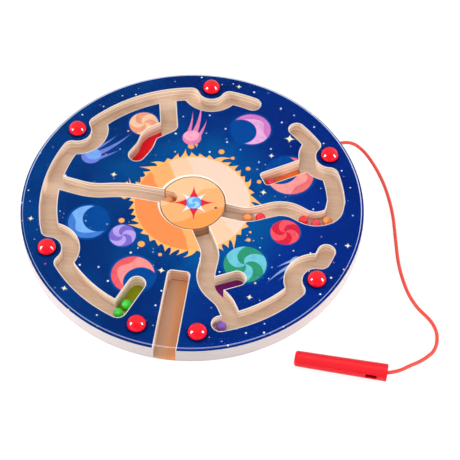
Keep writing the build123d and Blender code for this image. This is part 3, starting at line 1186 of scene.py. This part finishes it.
def plain_mesh(holder: Piece) -> Mesh:
    """Turns an object's spline or modifiers into a plain mesh and removes the object.

    Args:
        holder: the object, which stands in the scene.

    Returns:
        The mesh.
    """
    bpy.context.view_layer.update()
    mesh = bpy.data.meshes.new_from_object(holder.evaluated_get(bpy.context.evaluated_depsgraph_get()))
    bpy.data.objects.remove(holder)
    return mesh


def dress_node(node: str, material: Material) -> None:
    """Gives a CAD node a finish and leaves its mesh alone.

    Args:
        node: the CAD node.
        material: its finish.
    """
    part = frame["nodes"][node]
    if not part.material_slots:
        part.data.materials.append(None)
    for slot in part.material_slots:
        slot.link = "OBJECT"
        slot.material = material
    log.info("node %s has finish %s", node, material.name)


def spun(name: str, profile: list[Pair], sides: int) -> Mesh:
    """Turns a profile round the board's centre line.

    Args:
        name: the mesh's name.
        profile: radius and height of each point, in metres, from the axis below to the axis above.
        sides: the number of steps round.

    Returns:
        The closed mesh.
    """
    work = bmesh.new()
    rings = []
    for radius, height in profile:
        count = sides if radius > 0 else 1
        rings.append([work.verts.new(polar(radius, 360.0 * step / sides, height)) for step in range(count)])
    for low, high in zip(rings, rings[1:]):
        for step in range(sides):
            after = (step + 1) % sides
            around = ((low, step), (low, after), (high, after), (high, step))
            work.faces.new(list(dict.fromkeys(ring[index % len(ring)] for ring, index in around)))
    shade(work)
    return mesh_of(work, name)


def smooth_copy(node: str, name: str, body: str, material: Material) -> Piece:
    """Replaces a CAD node with a merged copy that shades smoothly over its curved faces.

    Args:
        node: the CAD node.
        name: the new piece's name.
        body: the body that it rides on.
        material: its finish.

    Returns:
        The new piece.
    """
    mesh = frame["nodes"][node].data.copy()
    work = bmesh.new()
    work.from_mesh(mesh)
    bmesh.ops.remove_doubles(work, verts=work.verts, dist=MERGE_WITHIN)
    shade(work)
    work.to_mesh(mesh)
    work.free()
    piece = new_piece(name, mesh, material)
    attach(piece, body)
    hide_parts(node)
    log.info("piece %s stands for %s on %s", name, node, body)
    return piece


@dataclass
class Camera:
    """Camera of the photograph."""

    place: Point = (0.11307, -0.66038, 0.91885)
    turn_degrees: Point = (35.3554, -0.7805, 7.9695)
    lens: float = 100.431
    sensor: float = 36.0
    sees: Pair = (0.01, 50.0)

    def build(self) -> None:
        """Makes the camera and hands it to the scene."""
        data = bpy.data.cameras.new("camera")
        data.lens, data.sensor_width = self.lens, self.sensor
        data.clip_start, data.clip_end = self.sees
        camera = stand("camera", data)
        camera.location = self.place
        camera.rotation_euler = [radians(angle) for angle in self.turn_degrees]
        bpy.context.scene.camera = camera


class LampUse(Enum):
    """What a lamp does: it lights things, or it only shows in some shiny pieces."""

    LIGHT = (True, False)
    MIRROR = (False, True)


@dataclass
class Lamp:
    """One softbox, aimed at the object, with its width, its height, its power and what it shows in."""

    name: str
    place: Point
    size: Pair
    watts: float
    use: LampUse
    shows_in: str = ""

    def build(self, takers: dict[str, bpy.types.Collection]) -> None:
        """Makes the lamp.

        Args:
            takers: the pieces that lamps of one kind show in, by the name of the kind.
        """
        data = bpy.data.lights.new(self.name, "AREA")
        data.shape, data.energy = "RECTANGLE", self.watts
        data.size, data.size_y = self.size
        light = stand(self.name, data)
        light.location = self.place
        light.rotation_euler = (-Vector(self.place)).to_track_quat("-Z", "Y").to_euler()
        light.visible_diffuse, light.visible_glossy = self.use.value
        if self.shows_in:
            light.light_linking.receiver_collection = takers[self.shows_in]
        log.info("lamp %s", self.name)


@dataclass
class Studio:
    """Pale floor, even sky light and soft lamps."""

    floor_radius: float = 4.0
    floor_sides: int = 96
    floor_tone: float = 0.8
    shadow_tone: float = 0.3
    floor_glow: float = 0.78
    sky: float = 0.5
    lamps: tuple[Lamp, ...] = (
        Lamp("left softbox", (-1.0, -0.36, 0.3), (0.2, 0.42), 7.5, LampUse.LIGHT),
        Lamp("right softbox", (1.08, -0.08, 0.32), (0.2, 0.42), 8.0, LampUse.LIGHT),
        Lamp("front softbox", (0.1, -1.5, 1.1), (2.2, 1.2), 13.5, LampUse.LIGHT),
        Lamp("top softbox", (-0.35, -0.1, 1.5), (1.6, 1.6), 7.0, LampUse.LIGHT),
        Lamp("left card", (-1.0, -0.36, 0.37), (0.32, 0.6), 24.0, LampUse.MIRROR, "paint"),
        Lamp("right card", (1.08, -0.08, 0.39), (0.32, 0.6), 24.0, LampUse.MIRROR, "paint"),
        Lamp("wand card", (0.25, 0.3, 1.3), (1.6, 0.8), 4.5, LampUse.MIRROR, "wand"),
    )
    dark_side: Point = (0.13, -0.85, 0.5)
    dark_span: Pair = (0.55, 0.95)
    dark_share: float = 0.8

    def build(self, shiny: dict[str, list[Piece]]) -> None:
        """Makes the floor, the world and the lamps.

        Args:
            shiny: the pieces that mirror the cards, under the name that the cards have for them.
        """
        bpy.context.scene.view_settings.view_transform = "Standard"
        work = bmesh.new()
        bmesh.ops.create_circle(work, cap_ends=True, segments=self.floor_sides, radius=self.floor_radius)
        floor = new_piece("floor", mesh_of(work, "floor"), self.floor_material())
        self.build_world()
        takers = {name: bpy.data.collections.new("shiny " + name) for name in shiny}
        for name, pieces in shiny.items():
            for piece in pieces:
                takers[name].objects.link(piece)
        for lamp in self.lamps:
            lamp.build(takers)

    def seen(self, g: Graph) -> Socket:
        """Returns 1 for rays that show the background to the camera."""
        path = g.node("ShaderNodeLightPath").outputs
        return g.math("MAXIMUM", path["Is Camera Ray"], path["Is Transmission Ray"])

    def floor_material(self) -> Material:
        """Returns a floor that shows white and keeps the object's shadow."""
        material = bpy.data.materials.new("pale floor")
        g = fresh_graph(material)
        plain = g.node("ShaderNodeBsdfDiffuse", {"Color": grey(self.floor_tone)})
        dim = g.node("ShaderNodeBsdfDiffuse", {"Color": grey(self.shadow_tone)})
        white = g.node("ShaderNodeEmission", {"Color": grey(1.0), "Strength": self.floor_glow})
        shown = g.row(g.node("ShaderNodeAddShader"), (dim.outputs[0], white.outputs[0]))
        g.node("ShaderNodeOutputMaterial", {"Surface": g.both(self.seen(g), plain, shown)})
        return material

    def build_world(self) -> None:
        """Gives the scene a soft sky that shows white and is dimmer in front."""
        world = bpy.data.worlds.new("studio")
        g = fresh_graph(world)
        way = g.node("ShaderNodeTexCoord").outputs["Generated"]
        front = g.rise(g.vector("DOT_PRODUCT", way, Vector(self.dark_side).normalized()), *self.dark_span)
        sky = g.times(g.minus(1.0, g.times(front, self.dark_share)), self.sky)
        strength = g.math("MAXIMUM", self.seen(g), sky)
        ground = g.node("ShaderNodeBackground", {"Color": grey(1.0), "Strength": strength})
        g.node("ShaderNodeOutputWorld", {"Surface": ground.outputs[0]})
        bpy.context.scene.world = world


@dataclass
class Cord:
    """The cord from the board's rim to the wand.

    The route's points are reach past the rim, bearing and height, in millimetres and degrees.
    """

    effects: Effects
    board_radius: float = 150.0
    diameter: float = 3.0
    length: float = 0.3062
    sides: int = 14
    steps: int = 14
    route: tuple[Point, ...] = (
        (-10.0, 37.2, 10.5),
        (7.0, 37.2, 10.5),
        (20.5, 33.2, 5.0),
        (25.2, 21.5, 1.55),
        (27.3, 9.5, 1.55),
        (29.7, -0.8, 1.55),
        (37.5, -10.3, 1.55),
        (58.2, -18.6, 1.55),
        (85.2, -21.2, 1.55),
        (96.0, -26.0, 1.55),
        (91.8, -30.2, 2.7),
        (87.6, -33.0, 6.2),
        (84.4, -36.0, 8.4),
        (78.62, -37.58, 7.2),
    )
    lift_starts: Point = (150.0, 70.0, 0.0)
    lift_ends: Point = (184.0, -132.0, 0.0)

    def line(self) -> list[Vector]:
        """Returns close points along the spline that the route's points control."""
        data = bpy.data.curves.new("cord line", "CURVE")
        data.dimensions, data.resolution_u = "3D", self.steps
        spline = data.splines.new("NURBS")
        spline.points.add(len(self.route) - 1)
        for control, (reach, bearing, height) in zip(spline.points, self.route):
            control.co = (*Vector(polar(self.board_radius + reach, bearing, height)) * MM, 1.0)
        spline.order_u = 3
        spline.use_endpoint_u = True
        mesh = plain_mesh(stand("cord line", data))
        path = [vertex.co.copy() for vertex in mesh.vertices]
        bpy.data.meshes.remove(mesh)
        return path

    def tube(self, path: list[Vector]) -> Mesh:
        """Returns a closed tube along the path, with its lay as a UV map.

        Args:
            path: the points of its centre line.

        Returns:
            The mesh.
        """
        work = bmesh.new()
        rings, lengths, radius = [], [], self.diameter / 2 * MM
        side = (path[1] - path[0]).cross(Vector((0, 0, 1))).normalized()
        run = 0.0
        for index, point in enumerate(path):
            ahead = (path[min(index + 1, len(path) - 1)] - path[max(index - 1, 0)]).normalized()
            side = (side - ahead * side.dot(ahead)).normalized()
            over = ahead.cross(side)
            run += (point - path[index - 1]).length if index else 0.0
            lengths.append(run)
            rings.append([
                work.verts.new(point + (side * cos(turn) + over * sin(turn)) * radius)
                for turn in (2 * pi * step / self.sides for step in range(self.sides))
            ])
        lay = work.loops.layers.uv.new("Lay")
        for index, (near, far) in enumerate(zip(rings, rings[1:])):
            for step in range(self.sides):
                after = (step + 1) % self.sides
                face = work.faces.new((near[step], near[after], far[after], far[step]))
                face.smooth = True
                marks = ((0, step), (0, step + 1), (1, step + 1), (1, step))
                for loop, (end, turn) in zip(face.loops, marks):
                    loop[lay].uv = (lengths[index + end], turn / self.sides)
        work.faces.new(list(reversed(rings[0])))
        work.faces.new(rings[-1])
        bmesh.ops.recalc_face_normals(work, faces=work.faces)
        return mesh_of(work, "cord tube")

    def build(self, colour: Colour, tool: list[Piece]) -> None:
        """Args:
            colour: the braid's colour.
            tool: the pieces of the wand that hold its far end; not used.
        """
        path = self.line()
        piece = new_piece("cord_braid", self.tube(path), Braid("cord", self.effects, colour).material())
        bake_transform(piece)
        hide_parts("cord")
        log.info("piece cord_braid: %d points along its line", len(path))


@dataclass
class Caps:
    """Seven domed caps on the cover."""

    bearings: tuple[float, ...] = (31.2, 91.3, 150.7, 210.2, 330.5, 258.8, 280.6)
    circle: float = 0.133
    diameter: float = 0.0155
    skirt: float = 0.001
    dome: float = 0.0062
    seat: float = 0.0184
    seed: int = 7
    steps_round: int = 56
    steps_up: int = 30
    floor_share: float = 0.1
    skirt_share: float = 0.1

    def tree(self) -> Tree:
        """Returns a Geometry Nodes tree that stands a domed cap on each point.

        A flat grid is bent into the cap: its first rows close the floor, the next make the skirt and the
        rest the dome.
        """
        tree = bpy.data.node_groups.new("domed caps", "GeometryNodeTree")
        face = tree.interface
        takes = {"Geometry": "Geometry", **dict.fromkeys(("Diameter", "Skirt", "Dome"), "Float"),
                 "Seed": "Int", "Material": "Material"}
        for name, kind in takes.items():
            face.new_socket(name=name, in_out="INPUT", socket_type="NodeSocket" + kind)
        face.new_socket(name="Geometry", in_out="OUTPUT", socket_type="NodeSocketGeometry")
        g = Graph(tree)
        take = g.node("NodeGroupInput").outputs
        grid = g.node("GeometryNodeMeshGrid", {
            "Size X": 1.0, "Size Y": 1.0,
            "Vertices X": self.steps_round + 1, "Vertices Y": self.steps_up + 1,
        })
        across, up, _ = g.split(g.node("GeometryNodeInputPosition").outputs[0])
        turn, level = g.times(g.plus(across, 0.5), 2 * pi), g.plus(up, 0.5)
        half = g.over(take["Diameter"], 2.0)
        square = g.plus(g.times(half, half), g.times(take["Dome"], take["Dome"]))
        sphere = g.over(square, g.times(take["Dome"], 2.0))
        spread = g.math("ARCSINE", g.over(half, sphere))
        foot = self.floor_share + self.skirt_share
        climb = g.over(g.minus(level, foot), 1.0 - foot, clamp=True)
        tilt = g.times(spread, g.minus(1.0, climb))
        reach = g.times(sphere, g.math("SINE", tilt), g.over(level, self.floor_share, clamp=True))
        wall = g.times(g.over(g.minus(level, self.floor_share), self.skirt_share, clamp=True), take["Skirt"])
        rise = g.minus(g.math("COSINE", tilt), g.math("COSINE", spread))
        place = g.join(
            g.times(reach, g.math("COSINE", turn)),
            g.times(reach, g.math("SINE", turn)),
            g.plus(wall, g.times(sphere, rise)),
        )
        cap = grid.outputs["Mesh"]
        for kind, inputs in (
            ("GeometryNodeSetPosition", {"Position": place}),
            ("GeometryNodeMergeByDistance", {"Distance": MERGE_WITHIN}),
            ("GeometryNodeSetShadeSmooth", {"Shade Smooth": True}),
        ):
            cap = g.node(kind, {"Geometry": cap, **inputs}).outputs[0]
        draw = g.node("FunctionNodeRandomValue", {"Seed": take["Seed"]}, data_type="FLOAT")
        spin = g.node("FunctionNodeEulerToRotation", {"Euler": g.join(z=g.times(draw.outputs[1], 2 * pi))})
        copies = g.node("GeometryNodeInstanceOnPoints", {
            "Points": take["Geometry"], "Instance": cap, "Rotation": spin.outputs[0]})
        real = g.node("GeometryNodeRealizeInstances", {"Geometry": copies.outputs[0]})
        dressed = g.node("GeometryNodeSetMaterial", {
            "Geometry": real.outputs[0], "Material": take["Material"]})
        g.node("NodeGroupOutput", {"Geometry": dressed.outputs[0]})
        return tree

    def build(self, material: Material) -> list[Piece]:
        """Makes the caps as one piece on the board.

        Args:
            material: the caps' plastic.

        Returns:
            The piece, in a list.
        """
        seats = bpy.data.meshes.new("cap seats")
        seats.from_pydata([polar(self.circle, bearing, self.seat) for bearing in self.bearings], [], [])
        holder = stand("cap seats", seats)
        modifier = holder.modifiers.new("domed caps", "NODES")
        modifier.node_group = self.tree()
        values = {
            "Diameter": self.diameter, "Skirt": self.skirt, "Dome": self.dome,
            "Seed": self.seed, "Material": material,
        }
        for item in modifier.node_group.interface.items_tree:
            if item.in_out == "INPUT" and item.name in values:
                modifier[item.identifier] = values[item.name]
        mesh = plain_mesh(holder)
        piece = new_piece("domed_caps", mesh, material)
        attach(piece, "board")
        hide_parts("screw_caps")
        log.info("piece domed_caps: %d caps, %d faces", len(self.bearings), len(mesh.polygons))
        return [piece]


@dataclass
class Board:
    """Base, maze plate, print, pocket floors and clear cover."""

    effects: Effects
    cover_lift: float = 0.00005
    cover_bevel: float = 0.0004
    cover_sides: int = 288
    floors: tuple[tuple[str, Colour], ...] = (
        ("red", linear(255, 14, 40)),
        ("orange", linear(255, 120, 46)),
        ("green", linear(146, 158, 0)),
        ("purple", linear(120, 8, 108)),
    )

    def cover(self) -> Mesh:
        """Returns the clear sheet with broken edges, a hair above the print."""
        low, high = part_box("clear_cover")
        radius, bevel = 0.5 * (high[0] - low[0]), self.cover_bevel
        bottom, top = low[2] + self.cover_lift, high[2]
        return spun("clear_sheet", [
            (0.0, bottom), (radius - bevel, bottom), (radius, bottom + bevel),
            (radius, top - bevel), (radius - bevel, top), (0.0, top),
        ], self.cover_sides)

    def build(self) -> None:
        """Dresses the board's layers from the bottom up."""
        e = self.effects
        brown, maze = BrownBoard("brown board", e).material(), MazeWood("maze plywood", e).material()
        smooth_copy("base_plate", "base_board", "board", brown)
        smooth_copy("maze_plate", "maze_board", "board", maze)
        dress_node("printed_face", SkyPrint("sky print", e).material())
        for name, colour in self.floors:
            dress_node("floor_" + name, FloorPaint(name + " floor", e, colour).material())
        sheet = new_piece("clear_sheet", self.cover(), ClearSheet("clear sheet", e).material())
        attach(sheet, "board")
        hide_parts("clear_cover")
        log.info("piece clear_sheet")


@dataclass
class Turntable:
    """Notched disc in the middle, with its print and slug."""

    effects: Effects

    def build(self) -> None:
        """Dresses the disc."""
        e = self.effects
        wood = DiscWood("disc wood", e).material()
        smooth_copy("turntable_disc", "disc_body", "turntable", wood)
        dress_node("turntable_label", DiscPrint("disc print", e).material())
        dress_node("turntable_slug", Metal("steel slug", e, linear(112, 108, 110), 0.3).material())


class Paint(Enum):
    """Colours of the balls."""

    ORANGE = linear(255, 156, 82)
    RED = linear(255, 36, 56)
    PINK = linear(255, 62, 80)
    GREEN = linear(62, 222, 62)
    PURPLE = linear(136, 84, 196)


@dataclass
class Balls:
    """Ten painted balls, each on its own body."""

    effects: Effects
    grid: int = 15
    paints: tuple[tuple[str, Paint], ...] = (
        ("ball_orange_notch", Paint.ORANGE),
        ("ball_orange_right", Paint.ORANGE),
        ("ball_red_right", Paint.RED),
        ("ball_red_bend", Paint.RED),
        ("ball_pink_bend", Paint.PINK),
        ("ball_orange_bend", Paint.ORANGE),
        ("ball_green_rim", Paint.GREEN),
        ("ball_purple_rim", Paint.PURPLE),
        ("ball_red_pocket", Paint.RED),
        ("ball_green_pocket", Paint.GREEN),
    )

    def ball(self, node: str) -> Mesh:
        """Makes an even ball of squares where a node's ball lies.

        Args:
            node: the CAD ball.

        Returns:
            The mesh.
        """
        low, high = (Vector(corner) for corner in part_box(node))
        middle, radius = (low + high) / 2, (high.x - low.x) / 2
        work = bmesh.new()
        bmesh.ops.create_cube(work, size=2.0)
        bmesh.ops.subdivide_edges(work, edges=work.edges, cuts=self.grid, use_grid_fill=True)
        for vertex in work.verts:
            vertex.co = middle + vertex.co.normalized() * radius
        shade(work)
        return mesh_of(work, node + "_painted")

    def slot(self, node: str) -> str:
        """Returns a ball's material slot, from the record."""
        return next(row["material_slot"] for row in frame["record"]["subparts"] if row["node"] == node)

    def build(self) -> list[Piece]:
        """Makes the balls and returns them."""
        made = []
        finishes = {
            paint: BallPaint(paint.name.lower() + " enamel", self.effects, paint.value).material()
            for paint in Paint
        }
        for node, paint in self.paints:
            piece = new_piece(node + "_painted", self.ball(node), finishes[paint])
            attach(piece, node)
            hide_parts(node)
            log.info("piece %s", piece.name)
            made.append(piece)
        return made


@dataclass
class Wand:
    """Hollow magnet wand with its plug and knot."""

    effects: Effects

    def build(self, cord_colour: Colour) -> tuple[list[Piece], list[Piece]]:
        """Dresses the wand.

        Args:
            cord_colour: the cord's colour, which its knot shares.

        Returns:
            The moulded pieces, and the pieces that hold the cord.
        """
        e = self.effects
        red = Plastic("wand plastic", e, linear(238, 4, 28), Gloss.SATIN, 0.00003, 0.4).material()
        tube = smooth_copy("wand_shell", "wand_tube", "wand", red)
        plug = smooth_copy("wand_plug", "wand_end_plug", "wand", red)
        dress_node("wand_magnet", Metal("magnet", e, linear(96, 96, 100), 0.42).material())
        dress_node("wand_knot", Plastic("knot", e, cord_colour, Gloss.SATIN, 0.0001).material())
        return [tube, plug], [plug, frame["nodes"]["wand_knot"]]


def main() -> None:
    """Builds the sub-assemblies in order."""
    logging.basicConfig(level=logging.INFO, format="%(message)s")
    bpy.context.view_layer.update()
    cord_colour = linear(250, 82, 68)
    Camera().build()
    effects = Effects()
    moulded, tool = Wand(effects).build(cord_colour)
    Cord(effects).build(cord_colour, tool)
    Board(effects).build()
    Turntable(effects).build()
    cap_plastic = Plastic("cap plastic", effects, linear(250, 16, 38), Gloss.GLOSSY, 0.000004)
    caps = Caps().build(cap_plastic.material())
    Studio().build({"paint": caps + Balls(effects).build(), "wand": moulded})


if __name__ == "__main__":
    main()
